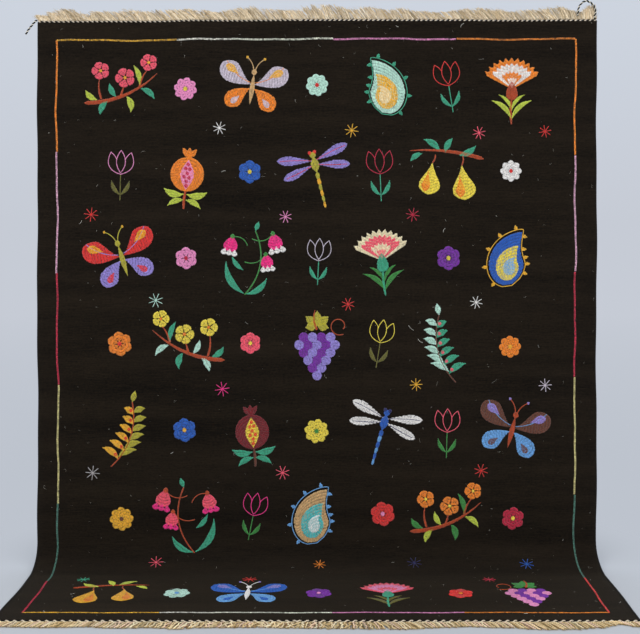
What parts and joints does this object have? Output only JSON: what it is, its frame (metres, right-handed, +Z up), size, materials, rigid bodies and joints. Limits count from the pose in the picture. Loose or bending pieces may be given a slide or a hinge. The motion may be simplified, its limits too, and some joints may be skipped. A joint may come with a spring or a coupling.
{
  "type": "hung kilim rug",
  "caption": "Flat-woven embroidered wool kilim rug, hung from its top edge with its foot swept forward onto the floor, with a fringed hem at each end.",
  "frame": {"origin": "middle of the flat underside of the foot, on the floor", "axes": "+X along the hems to the viewer's right, +Z up, the embroidered face looks to -Y and the top leans towards +Y"},
  "size_m": [1.638, 0.6327, 1.6139],
  "materials": {
    "kilim_wool": "black weft-faced wool flatweave, matt",
    "twined_yarn": "cream and black yarns twined together, matt",
    "fringe_cotton": "undyed cotton warp ends, matt and hairy",
    "embroidery_wool": "crewel wool in many colours, satin and chain stitch, soft sheen"
  },
  "bodies": {
    "root": {"kilim_cloth": "kilim_wool", "twining_top": "twined_yarn", "twining_bottom": "twined_yarn", "fringe_top": "fringe_cotton", "fringe_bottom": "fringe_cotton", "twining_end_left": "twined_yarn", "twining_end_right": "twined_yarn"}
  },
  "joints": []
}
